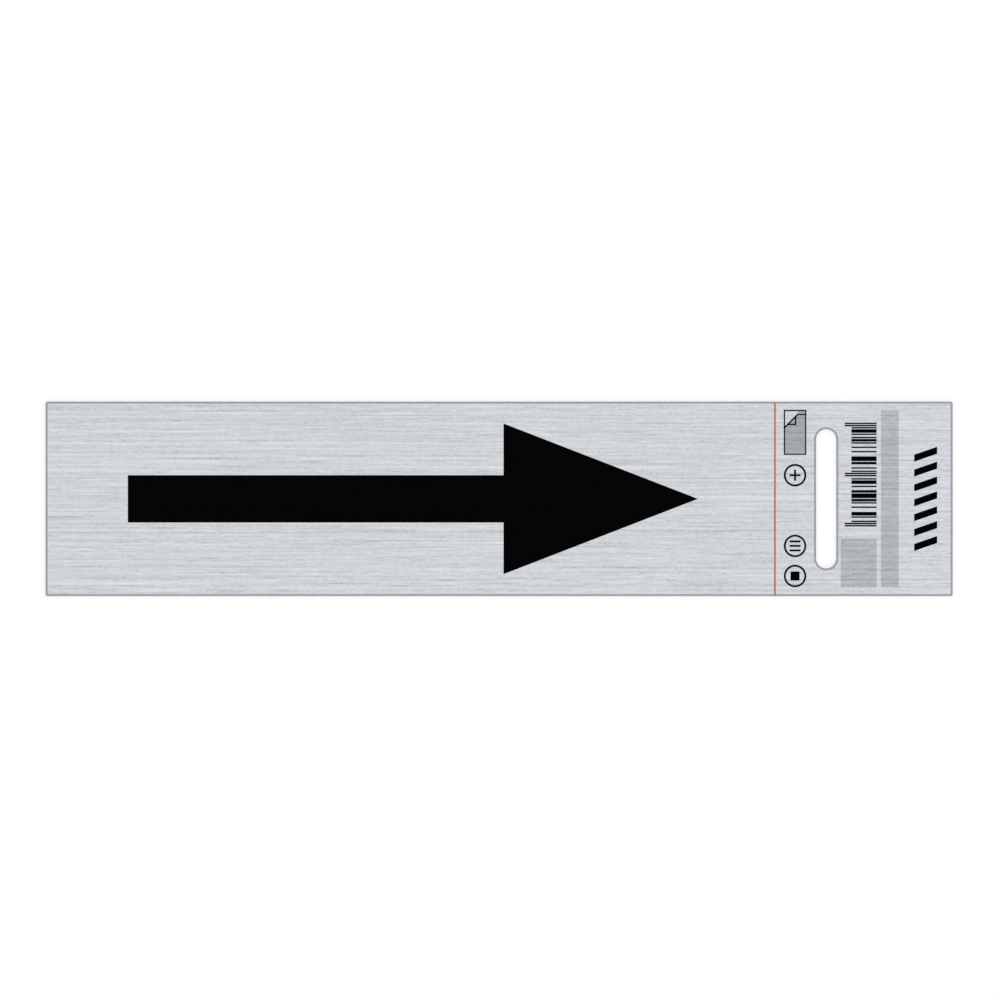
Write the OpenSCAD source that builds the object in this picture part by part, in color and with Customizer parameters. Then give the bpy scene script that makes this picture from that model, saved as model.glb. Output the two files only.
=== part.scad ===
// Self-adhesive arrow sign on its release liner, with a hanging tab at one end, lying face up.
// The origin is the centre of the liner's underside, and +X is the way the arrow points.

/* [Strip] */
// Length of the sign panel, from its free end to the cut
sign_length = 165; // [130:5:240]
// Length of the hanging tab, from the cut to its free end
tab_length = 40.2; // [36:0.1:60]
// Height of the strip, the same for the panel and the tab
strip_height = 44; // [42:1:60]
// Radius of the strip's corners
corner_radius = 0.4; // [0.2:0.1:0.6]

/* [Sheets] */
// Thickness of the release liner that carries both films
liner_thickness = 0.15; // [0.1:0.01:0.3]
// Thickness of the face film, its adhesive included
film_thickness = 0.3; // [0.1:0.01:0.5]
// Thickness of the printed ink
ink_thickness = 0.03; // [0.02:0.01:0.08]
// Width of the kiss cut, which parts the films and leaves the liner whole
cut_width = 0.05; // [0.02:0.01:0.1]

/* [Arrow] */
// Clear space between the panel's free end and the arrow's tail
tail_margin = 18.6; // [5:0.1:30]
// Clear space between the arrow's tip and the cut
tip_margin = 17.4; // [5:0.1:30]
// Length of the arrow's head
head_length = 44; // [20:1:60]
// Width of the arrow's head
head_width = 34.1; // [16:0.1:38]
// Width of the arrow's shaft
shaft_width = 10.7; // [4:0.1:15]

/* [Hang slot] */
// Width of the slot
slot_width = 4.6; // [4.5:0.1:6.5]
// Length of the slot, over its round ends
slot_length = 31.5; // [20:0.5:36]
// Clear space between the column of marks and the slot
slot_gap = 2.2; // [1:0.1:2.5]

/* [Lines] */
// Width of the line along the outline and round the slot
edge_line_width = 0.45; // [0.2:0.05:0.8]
// Width of the red line on the cut, half of it on each film
cut_line_width = 0.4; // [0.2:0.1:0.8]

/* [Column of marks] */
// Clear space between the tab's edges and its print
print_margin = 2; // [1:0.1:2.5]
// Diameter of the round marks
mark_diameter = 5.1; // [4:0.1:6]
// Clear space between two round marks
mark_gap = 1.7; // [0.5:0.1:3]
// Width of the peel pictogram
peel_width = 4.8; // [4:0.1:5.1]
// Height of the peel pictogram
peel_height = 9.9; // [8:0.1:12]
// Distance from the pictogram's corner to the lower end of its fold
peel_fold = 3.9; // [2.5:0.1:4.5]
// Distance from the pictogram's top to the top edge of the sheet drawn in it
peel_step = 0.9; // [0.6:0.05:1.2]
// Clear space between the peel pictogram and the mark below it
peel_gap = 2.2; // [0.5:0.1:3]
// Width of the lines that draw the pictogram's frame and the sheet's top edge
peel_line = 0.3; // [0.2:0.05:0.5]
// Width of the lines that draw its fold
fold_line = 0.35; // [0.2:0.05:0.5]
// Width of the lines that draw the round marks
mark_line = 0.45; // [0.3:0.05:0.6]

/* [Bars and fields] */
// Clear space between the slot, the grey box and the grey band
column_gap = 1; // [0.8:0.1:1.5]
// Width of the grey box
box_width = 8.1; // [7.5:0.1:9]
// Height of the grey box
box_height = 11; // [8:0.5:14]
// Width of the grey band
band_width = 4; // [3:0.5:5]
// Length of the bars
bar_length = 5.7; // [4:0.1:6.2]
// Reach of the guard bars past the others
guard_reach = 1.5; // [0:0.1:1.6]
// Clear space above and below the row of bars
bar_gap = 2.8; // [1:0.1:4]
// Number of thin places in the row, each inked or bare, with two guard bars at each end and in the middle
bar_places = 95; // [75:2:115]

/* [Slanted blocks] */
// Width of the column of blocks
block_width = 5.2; // [4:0.1:6]
// Length of the whole column
block_run = 23.6; // [20:0.2:36]
// Thickness of one block
block_thickness = 1.6; // [1:0.1:2]
// Rise of a block from one side to the other
block_slant = 1.8; // [0:0.1:3]
// Number of blocks
block_count = 7; // [3:1:9]

/* [Hidden] */
$fn = 64;

liner_colour = [0.91, 0.9, 0.87];
film_colour = [0.79, 0.81, 0.82];
black_ink = [0.03, 0.03, 0.03];
red_ink = [0.8, 0.43, 0.42];
line_ink = [0.61, 0.6, 0.67];
grey_ink = [0.69, 0.7, 0.72];

// Levels and ends of the sheets
film_level = liner_thickness;
face_level = liner_thickness + film_thickness;
strip_length = sign_length + tab_length;
free_end = -strip_length / 2;
cut_x = free_end + sign_length;
panel_end = cut_x - cut_width / 2;
tab_start = cut_x + cut_width / 2;
tab_end = cut_x + tab_length;
top_edge = strip_height / 2;

// Columns of the tab's print, counted from the cut, with the blocks in the middle of what is left
mark_x = cut_x + print_margin + mark_diameter / 2;
slot_x = mark_x + mark_diameter / 2 + slot_gap + slot_width / 2;
box_left = slot_x + slot_width / 2 + column_gap;
box_right = box_left + box_width;
band_left = box_right + column_gap;
band_right = band_left + band_width;
block_left = (band_right + tab_end - block_width) / 2;

// Rows of the tab's print, counted from its long edges
print_top = top_edge - print_margin;
print_bottom = -print_top;
peel_left = mark_x - peel_width / 2;
peel_bottom = print_top - peel_height;
box_top = print_bottom + box_height;
mark_pitch = mark_diameter + mark_gap;
plus_mark_y = peel_bottom - peel_gap - mark_diameter / 2;
square_mark_y = print_bottom + mark_diameter / 2;
bars_mark_y = square_mark_y + mark_pitch;

// The row of bars fills the space over the box. Its guards are clear of the other bars, and every bar is
// wider than its places by a share of a place, as ink spreads.
bar_bottom = box_top + bar_gap;
place_height = (print_top - bar_gap - bar_bottom) / bar_places;
middle_place = (bar_places - 1) / 2;
guard_clearance = 3;
inked_share = 0.5;
place_turn = 0.382;
ink_spread = 0.4 * place_height;

block_pitch = (block_run - block_thickness - block_slant) / (block_count - 1);

// A layer of ink on the face of the films
module ink_layer() {
    translate([0, 0, face_level])
        linear_extrude(ink_thickness)
            children();
}

// A rectangle between two opposite corners
module field(low, high) {
    translate(low)
        square(high - low);
}

// A straight line of print between two points
module stroke(start, end, width) {
    run = end - start;
    translate(start)
        rotate(atan2(run.y, run.x))
            translate([-width / 2, -width / 2])
                square([norm(run) + width, width]);
}

// The lines of print from each point to the next, and from the last to the first
module closed_strokes(points, width) {
    for (i = [0 : len(points) - 1])
        stroke(points[i], points[(i + 1) % len(points)], width);
}

// An upright slot with full round ends, larger by margin on every side
module slot_outline(margin) {
    width = slot_width + 2 * margin;
    straight = slot_length - slot_width;
    translate([slot_x, 0]) {
        square([width, straight], center = true);
        for (side = [-1, 1])
            translate([0, side * straight / 2])
                circle(d = width);
    }
}

// The whole strip with its round corners
module strip_outline() {
    corner_x = strip_length / 2 - corner_radius;
    corner_y = strip_height / 2 - corner_radius;
    square([strip_length, 2 * corner_y], center = true);
    square([2 * corner_x, strip_height], center = true);
    for (x = [-corner_x, corner_x])
        for (y = [-corner_y, corner_y])
            translate([x, y])
                circle(corner_radius);
}

// The backing sheet under both films, cut through by the slot
module release_liner() {
    color(liner_colour)
        linear_extrude(liner_thickness)
            difference() {
                strip_outline();
                slot_outline(0);
            }
}

// The panel that peels off and carries the arrow
module sign_face() {
    color(film_colour)
        translate([0, 0, film_level])
            linear_extrude(film_thickness)
                intersection() {
                    strip_outline();
                    field([free_end, -top_edge], [panel_end, top_edge]);
                }
}

// The film that stays on the liner and hangs the sign
module hang_tab() {
    color(film_colour)
        translate([0, 0, film_level])
            linear_extrude(film_thickness)
                difference() {
                    intersection() {
                        strip_outline();
                        field([tab_start, -top_edge], [tab_end, top_edge]);
                    }
                    slot_outline(0);
                }
}

module arrow_print() {
    tail_x = free_end + tail_margin;
    tip_x = cut_x - tip_margin;
    head_x = tip_x - head_length;
    half_shaft = shaft_width / 2;
    half_head = head_width / 2;
    color(black_ink)
        ink_layer()
            polygon([
                [tail_x, -half_shaft],
                [head_x, -half_shaft],
                [head_x, -half_head],
                [tip_x, 0],
                [head_x, half_head],
                [head_x, half_shaft],
                [tail_x, half_shaft],
            ]);
}

// The kiss cut parts the red line too, so each film keeps its own half
module cut_line() {
    half = cut_line_width / 2;
    color(red_ink)
        ink_layer() {
            field([cut_x - half, -top_edge], [panel_end, top_edge]);
            field([tab_start, -top_edge], [cut_x + half, top_edge]);
        }
}

// The fine line along the outline of both films and round the slot
module edge_line() {
    color(line_ink)
        ink_layer() {
            difference() {
                strip_outline();
                field(
                    [free_end + edge_line_width, -top_edge + edge_line_width],
                    [tab_end - edge_line_width, top_edge - edge_line_width]
                );
                field(
                    [cut_x - cut_line_width / 2, -top_edge],
                    [cut_x + cut_line_width / 2, top_edge]
                );
            }
            difference() {
                slot_outline(edge_line_width);
                slot_outline(0);
            }
        }
}

// A sheet whose upper left corner is peeled off its backing and folded over
module peel_lines() {
    sheet_top = peel_height - peel_step;
    fold_low = [0, peel_height - peel_fold];
    fold_high = [peel_fold - peel_step, sheet_top];
    flap_x = 0.65 * peel_fold;
    flap_y = peel_height - 0.81 * peel_fold;
    flap_low = [flap_y - fold_low.y, flap_y];
    flap_high = [flap_x, flap_x + fold_low.y];
    closed_strokes([[0, 0], [peel_width, 0], [peel_width, peel_height], [0, peel_height]], peel_line);
    closed_strokes([flap_low, [flap_x, flap_y], flap_high], fold_line);
    stroke(fold_low, fold_high, fold_line);
    stroke(fold_high, [peel_width, sheet_top], peel_line);
}

// All of the pictogram but the bared corner
module peel_fill() {
    bared_x = peel_fold - peel_step;
    difference() {
        polygon([
            [0, 0],
            [peel_width, 0],
            [peel_width, peel_height],
            [bared_x, peel_height],
            [bared_x, peel_height - peel_step],
            [0, peel_height - peel_fold],
        ]);
        peel_lines();
    }
}

// The folded sheet, a bare box and a bare band
module grey_print() {
    color(grey_ink)
        ink_layer() {
            translate([peel_left, peel_bottom])
                peel_fill();
            field([box_left, print_bottom], [box_right, box_top]);
            field([band_left, print_bottom], [band_right, print_top]);
        }
}

// A printed ring round one of the three plain marks
module ring() {
    difference() {
        circle(d = mark_diameter);
        circle(d = mark_diameter - 2 * mark_line);
    }
}

module plus_mark() {
    reach = mark_diameter / 5;
    ring();
    stroke([-reach, 0], [reach, 0], mark_line);
    stroke([0, -reach], [0, reach], mark_line);
}

module bars_mark() {
    reach = mark_diameter / 5;
    ring();
    for (row = [-1, 0, 1])
        stroke([-reach, row * reach], [reach, row * reach], mark_line);
}

module square_mark() {
    ring();
    square(0.4 * mark_diameter, center = true);
}

// Whether a place between the guards is inked, by a plain formula whose bars follow no code
function inked(place) =
    abs(place - middle_place) >= guard_clearance
    && abs(place - middle_place) < middle_place - guard_clearance
    && place * place * place_turn % 1 < inked_share;

// Number of inked places from this one on
function run(place) = inked(place) ? 1 + run(place + 1) : 0;

// One bar of the row, from its first place up
module bar(place, places, reach) {
    low = bar_bottom + place * place_height - ink_spread / 2;
    high = low + places * place_height + ink_spread;
    field([box_right - bar_length - reach, low], [box_right, high]);
}

module bar_row() {
    for (guard = [1, middle_place, bar_places - 2])
        for (side = [-1, 1])
            bar(guard + side, 1, guard_reach);
    for (place = [0 : bar_places - 1])
        if (inked(place) && !inked(place - 1))
            bar(place, run(place), 0);
}

module slanted_blocks() {
    low = -block_run / 2;
    for (i = [0 : block_count - 1])
        translate([block_left, low + i * block_pitch])
            polygon([
                [0, 0],
                [block_width, block_slant],
                [block_width, block_slant + block_thickness],
                [0, block_thickness],
            ]);
}

// The small marks, the row of bars and the blocks
module black_print() {
    color(black_ink)
        ink_layer() {
            translate([peel_left, peel_bottom])
                peel_lines();
            translate([mark_x, plus_mark_y])
                plus_mark();
            translate([mark_x, bars_mark_y])
                bars_mark();
            translate([mark_x, square_mark_y])
                square_mark();
            bar_row();
            slanted_blocks();
        }
}

release_liner();
sign_face();
hang_tab();
arrow_print();
cut_line();
edge_line();
grey_print();
black_print();
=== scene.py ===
import bpy
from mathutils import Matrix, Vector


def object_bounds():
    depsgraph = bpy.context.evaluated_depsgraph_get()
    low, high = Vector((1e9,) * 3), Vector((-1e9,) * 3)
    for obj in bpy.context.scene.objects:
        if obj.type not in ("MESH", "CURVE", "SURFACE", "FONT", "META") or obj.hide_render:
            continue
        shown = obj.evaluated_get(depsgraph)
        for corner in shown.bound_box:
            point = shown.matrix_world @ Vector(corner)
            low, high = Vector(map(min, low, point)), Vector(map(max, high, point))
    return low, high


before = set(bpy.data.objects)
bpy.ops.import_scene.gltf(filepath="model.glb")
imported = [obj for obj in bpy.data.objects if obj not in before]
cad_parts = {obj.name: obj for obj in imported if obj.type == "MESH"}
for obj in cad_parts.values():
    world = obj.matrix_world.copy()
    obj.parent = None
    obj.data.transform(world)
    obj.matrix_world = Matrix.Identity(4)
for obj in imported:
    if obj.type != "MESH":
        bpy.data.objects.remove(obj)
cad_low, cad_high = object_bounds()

# The arrow sign lies face up on a white floor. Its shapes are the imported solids, and this script gives them
# their materials, the light and the camera. Lengths are in metres, and colours are linear.

# The photograph's frame, and where the camera stands over the strip
PICTURE_SIDE = 1000
PIXELS_PER_METRE = 4420.4
LENS = 150
SENSOR = 36
CAMERA_X = 0.0002
CAMERA_Y = -0.00026

# Two broad lamps on opposite sides, of which the right one is the stronger, as in the photograph
LAMP_SIDE = 2.2
LAMPS = (
    # name, power in watts, place
    ("fill", 3.18, (-1.612, 0.91, 1.82)),
    ("key", 7.42, (1.612, -0.91, 1.82)),
)

# The world's light on the object. At 1 it would show a white surface as white without the lamps.
WORLD_LEVEL = 0.9
WHITE = (1.0, 1.0, 1.0)

# A large white floor just under the liner. FLOOR_LIFT makes it white to look at, and the sign's shadow stays.
FLOOR_SIDE = 3.0
FLOOR_DEPTH = 0.00001
FLOOR_COLOUR = (0.8, 0.8, 0.8)
FLOOR_LIFT = 0.22

# The way in which a noise's shift moves it
SHIFT_WAY = (1.0, 1.7, 0.6)

# The brushed grain: fine lines along X, plain ones and ones that fade in and out over a length
LINE_SIZE = (0.25, 0.00042, 0.00042)
PLAIN_SHIFT = 3.1
FADING_LINES = (
    # length, share, shift
    (0.060, 6.2, 67.9),
    (0.030, 6.2, 52.3),
    (0.014, 6.2, 11.3),
    (0.0075, 6.2, 34.6),
    (0.0035, 6.0, 23.9),
)
PATCH_HEIGHT = 0.0014
PATCH_SHIFT = 0.4

# Two layers over those lines: finer lines and short specks
OVERLAYS = (
    # size, share, shift
    ((0.02, 0.00011, 0.00011), 1.0, 88.3),
    ((0.0007, 0.00030, 0.00030), 1.25, 41.7),
)

# How far a line wanders to the side
BEND_NOISE = ((0.014, 0.005, 0.01), 7.7)
BEND = 0.00005

# How far beside a line its two faint opposites lie, and how strong they are together
BESIDE = 0.0006
CRISPNESS = 0.36

# How much further the streaks go to the dark than to the pale
DARK_LEAN = 0.15

# The film looks like metal where it faces up, which is where the Z of its normal is above FACING_UP
FILM_COLOUR = (0.614, 0.6375, 0.663)
FILM_GRAIN = 0.185
FILM_ROUGHNESS = 0.34
FILM_ROUGHNESS_GRAIN = 0.1
FILM_RELIEF = 0.00001
FACING_UP = 0.5

# The film's cut edge shows its core, and the adhesive below the level ADHESIVE_TOP
FILM_CORE = (0.66, 0.67, 0.68)
ADHESIVE = (0.62, 0.60, 0.54)
ADHESIVE_TOP = 0.00020

# The inks on the film. The grey fields left of the slot's middle, SLOT_X, are the folded sheet of the
# pictogram and are printed darker.
SLOT_X = 0.074
BLACK = (0.0006, 0.0006, 0.0007)
INKS = {
    # node: material, colour, strength of the grain, shine, tone left of the slot
    "arrow_print": ("black_arrow", BLACK, 0.1, 0.015, 1.0),
    "black_print": ("black_marks", BLACK, 0.1, 0.015, 1.0),
    "cut_line": ("red_line", (0.60, 0.150, 0.145), 0.1, 0.3, 1.0),
    "edge_line": ("edge_line_ink", (0.335, 0.325, 0.400), 0.1, 0.3, 1.0),
    "grey_print": ("grey_fields", (0.436, 0.458, 0.476), 0.26, 0.3, 0.833),
}
INK_CLOUD = ((0.0015, 0.0015, 0.0015), 5.3, 2.0)
INK_TONE_CLOUD = 0.04
INK_ROUGHNESS = 0.5
INK_ROUGHNESS_CLOUD = 0.1
INK_RELIEF = 0.000005

# The liner's coated paper, with faint clouds and short fibres that lie every way
PAPER_COLOUR = (0.80, 0.78, 0.72)
PAPER_CLOUD = ((0.004, 0.004, 0.004), 2.9, 3.0)
PAPER_FIBRE = ((0.0009, 0.00025, 0.0003), 17.0, 2.0)
PAPER_CROSS_FIBRE = ((0.0003, 0.0008, 0.0003), 29.0, 2.0)
PAPER_TONE_CLOUD = 0.08
PAPER_TONE_FIBRES = 0.05
PAPER_ROUGHNESS = 0.42
PAPER_ROUGHNESS_FIBRES = 0.1
PAPER_RELIEF = 0.000008


class Graph:
    """The node tree of a material or of the world, with a short way to add and join its nodes."""

    def __init__(self, owner):
        self.owner = owner
        owner.use_nodes = True
        self.tree = owner.node_tree
        self.tree.nodes.clear()

    def add(self, kind, **settings):
        made = self.tree.nodes.new("ShaderNode" + kind)
        for name, value in settings.items():
            setattr(made, name, value)
        return made

    def feed(self, socket, value):
        """Gives a socket a number, a colour or another node's output."""
        if isinstance(value, bpy.types.NodeSocket):
            self.tree.links.new(value, socket)
        elif isinstance(value, tuple) and len(value) == 3 and len(socket.default_value) == 4:
            socket.default_value = (*value, 1.0)
        else:
            socket.default_value = value

    def math(self, operation, *values):
        made = self.add("Math", operation=operation)
        for socket, value in zip(made.inputs, values):
            self.feed(socket, value)
        return made.outputs[0]

    def varied(self, base, share, value):
        """The base with a share of the value added."""
        return self.math("MULTIPLY_ADD", value, share, base)

    def scaled(self, vector, factor):
        made = self.add("VectorMath", operation="SCALE")
        self.feed(made.inputs["Vector"], vector)
        self.feed(made.inputs["Scale"], factor)
        return made.outputs[0]

    def moved(self, point, distance):
        """The point moved along Y, across the strip, by a number or another node's output."""
        offset = self.add("CombineXYZ")
        self.feed(offset.inputs["Y"], distance)
        made = self.add("VectorMath", operation="ADD")
        self.feed(made.inputs[0], point)
        self.feed(made.inputs[1], offset.outputs[0])
        return made.outputs[0]

    def along(self, axis, vector):
        """How far a vector goes along an axis."""
        made = self.add("SeparateXYZ")
        self.feed(made.inputs[0], vector)
        return made.outputs[axis]

    def mix(self, factor, first, second):
        made = self.add("Mix", data_type="RGBA")
        self.feed(made.inputs["Factor"], factor)
        self.feed(made.inputs["A"], first)
        self.feed(made.inputs["B"], second)
        return made.outputs["Result"]

    def place(self):
        """The point on the surface in the row frame, where every node's object sits at the origin."""
        return self.add("TexCoord").outputs["Object"]

    def noise(self, point, size, shift, detail=0.0):
        """Noise about 0, in patches as large as size says along each axis. Each noise has its own shift."""
        fitted = self.add("Mapping")
        self.feed(fitted.inputs["Vector"], point)
        fitted.inputs["Scale"].default_value = [1 / side for side in size]
        fitted.inputs["Location"].default_value = [shift * step for step in SHIFT_WAY]
        made = self.add("TexNoise", noise_dimensions="3D")
        self.feed(made.inputs["Vector"], fitted.outputs[0])
        self.feed(made.inputs["Scale"], 1.0)
        self.feed(made.inputs["Detail"], detail)
        return self.math("SUBTRACT", made.outputs[0], 0.5)

    def bump(self, height, distance):
        made = self.add("Bump")
        self.feed(made.inputs["Height"], height)
        self.feed(made.inputs["Distance"], distance)
        return made.outputs[0]

    def seen(self):
        """1 for a ray that the camera, a mirror or a clear body sends, and 0 for the light on a surface."""
        path = self.add("LightPath")
        mirrored = self.math("MAXIMUM", path.outputs["Is Camera Ray"], path.outputs["Is Glossy Ray"])
        return self.math("MAXIMUM", mirrored, path.outputs["Is Transmission Ray"])

    def finish(self, kind, shader):
        """Ends in the shader, with a material's or the world's kind of output, and returns the owner."""
        self.feed(self.add(kind).inputs["Surface"], shader)
        return self.owner

    def principled(self, **inputs):
        """Ends in one shader, given its sockets by name with underscores for spaces."""
        shader = self.add("BsdfPrincipled")
        for name, value in inputs.items():
            self.feed(shader.inputs[name.replace("_", " ")], value)
        return self.finish("OutputMaterial", shader.outputs[0])


def lines(graph, point, shift):
    """Straight lines, each edged by a faint opposite, which makes it crisp."""
    total = graph.noise(point, LINE_SIZE, shift)
    for side in (-BESIDE, BESIDE):
        beside = graph.noise(graph.moved(point, side), LINE_SIZE, shift)
        total = graph.varied(total, -CRISPNESS / 2, beside)
    return total


def grain(graph):
    """The brushed grain at a point, the same for the film and for the print on it."""
    bend = graph.noise(graph.place(), *BEND_NOISE)
    point = graph.moved(graph.place(), graph.math("MULTIPLY", bend, BEND))
    total = lines(graph, point, PLAIN_SHIFT)
    for length, share, shift in FADING_LINES:
        strength = graph.noise(point, (length, PATCH_HEIGHT, PATCH_HEIGHT), shift + PATCH_SHIFT)
        total = graph.varied(total, share, graph.math("MULTIPLY", lines(graph, point, shift), strength))
    for size, share, shift in OVERLAYS:
        total = graph.varied(total, share, graph.noise(point, size, shift))
    return graph.varied(total, -DARK_LEAN, graph.math("MULTIPLY", total, total))


def brushed_film():
    """Metal-look film with a brushed grain. Its cut edge shows the plain core over the adhesive."""
    graph = Graph(bpy.data.materials.new("brushed_film"))
    streak = grain(graph)
    normal = graph.add("NewGeometry").outputs["True Normal"]
    face = graph.math("GREATER_THAN", graph.along("Z", normal), FACING_UP)
    core = graph.math("GREATER_THAN", graph.along("Z", graph.place()), ADHESIVE_TOP)
    edge = graph.mix(core, ADHESIVE, FILM_CORE)
    metal = graph.scaled(FILM_COLOUR, graph.varied(1.0, FILM_GRAIN, streak))
    return graph.principled(
        Base_Color=graph.mix(face, edge, metal),
        Metallic=face,
        Roughness=graph.varied(FILM_ROUGHNESS, FILM_ROUGHNESS_GRAIN, streak),
        Normal=graph.bump(streak, FILM_RELIEF),
    )


def print_ink(name, colour, grain_strength, shine, left_tone):
    """Ink on the film, through which the grain shows a little."""
    graph = Graph(bpy.data.materials.new(name))
    streak = grain(graph)
    cloud = graph.noise(graph.place(), *INK_CLOUD)
    left = graph.math("LESS_THAN", graph.along("X", graph.place()), SLOT_X)
    tone = graph.math(
        "MULTIPLY",
        graph.varied(1.0, INK_TONE_CLOUD, cloud),
        graph.varied(1.0, left_tone - 1.0, left),
    )
    streaked = graph.scaled(colour, graph.varied(1.0, grain_strength, streak))
    return graph.principled(
        Base_Color=graph.scaled(streaked, tone),
        Roughness=graph.varied(INK_ROUGHNESS, INK_ROUGHNESS_CLOUD, cloud),
        Specular_IOR_Level=shine,
        Normal=graph.bump(streak, INK_RELIEF),
    )


def coated_paper():
    """The liner's paper."""
    graph = Graph(bpy.data.materials.new("coated_liner"))
    cloud = graph.noise(graph.place(), *PAPER_CLOUD)
    fibre = graph.noise(graph.place(), *PAPER_FIBRE)
    cross_fibre = graph.noise(graph.place(), *PAPER_CROSS_FIBRE)
    fibres = graph.math("ADD", fibre, cross_fibre)
    tone = graph.varied(graph.varied(1.0, PAPER_TONE_FIBRES, fibres), PAPER_TONE_CLOUD, cloud)
    return graph.principled(
        Base_Color=graph.scaled(PAPER_COLOUR, tone),
        Roughness=graph.varied(PAPER_ROUGHNESS, PAPER_ROUGHNESS_FIBRES, fibres),
        Normal=graph.bump(fibres, PAPER_RELIEF),
    )


def white_floor():
    """Diffuse white, with a light of its own for the eye alone."""
    graph = Graph(bpy.data.materials.new("white_floor"))
    diffuse = graph.add("BsdfDiffuse")
    graph.feed(diffuse.inputs["Color"], FLOOR_COLOUR)
    lift = graph.add("Emission")
    graph.feed(lift.inputs["Strength"], graph.math("MULTIPLY", graph.seen(), FLOOR_LIFT))
    both = graph.add("AddShader")
    graph.feed(both.inputs[0], diffuse.outputs[0])
    graph.feed(both.inputs[1], lift.outputs[0])
    return graph.finish("OutputMaterial", both.outputs[0])


def white_world():
    """White to look at, and a light of WORLD_LEVEL on the object."""
    graph = Graph(bpy.data.worlds.new("studio"))
    background = graph.add("Background")
    graph.feed(background.inputs["Color"], WHITE)
    graph.feed(background.inputs["Strength"], graph.varied(WORLD_LEVEL, 1.0 - WORLD_LEVEL, graph.seen()))
    return graph.finish("OutputWorld", background.outputs[0])


def put(name, data, location=(0, 0, 0)):
    """Adds an object to the scene."""
    made = bpy.data.objects.new(name, data)
    made.location = location
    bpy.context.scene.collection.objects.link(made)
    return made


# The sign's materials
film = brushed_film()
materials = {"release_liner": coated_paper(), "sign_face": film, "hang_tab": film}
for node, settings in INKS.items():
    materials[node] = print_ink(*settings)
for node, material in materials.items():
    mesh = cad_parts[node].data
    mesh.materials.clear()
    mesh.materials.append(material)

# The floor and the world
floor_mesh = bpy.data.meshes.new("floor")
half = FLOOR_SIDE / 2
corners = [(-half, -half), (half, -half), (half, half), (-half, half)]
floor_mesh.from_pydata([(x, y, -FLOOR_DEPTH) for x, y in corners], [], [(0, 1, 2, 3)])
floor_mesh.materials.append(white_floor())
put("floor", floor_mesh)
bpy.context.scene.world = white_world()

# The lamps shine along their own -Z, towards the sign
for name, power, location in LAMPS:
    light = bpy.data.lights.new(name, "AREA")
    light.size = LAMP_SIDE
    light.energy = power
    lamp = put(name, light, location)
    lamp.rotation_mode = "QUATERNION"
    lamp.rotation_quaternion = lamp.location.to_track_quat("Z", "Y")

# A long lens straight over the strip, as high as makes the picture as wide as the photograph's
picture_width = PICTURE_SIDE / PIXELS_PER_METRE
camera_height = cad_high.z + picture_width * LENS / SENSOR
camera_data = bpy.data.cameras.new("camera")
camera_data.lens = LENS
camera_data.sensor_width = SENSOR
bpy.context.scene.camera = put("camera", camera_data, (CAMERA_X, CAMERA_Y, camera_height))

bpy.context.scene.view_settings.view_transform = "Standard"
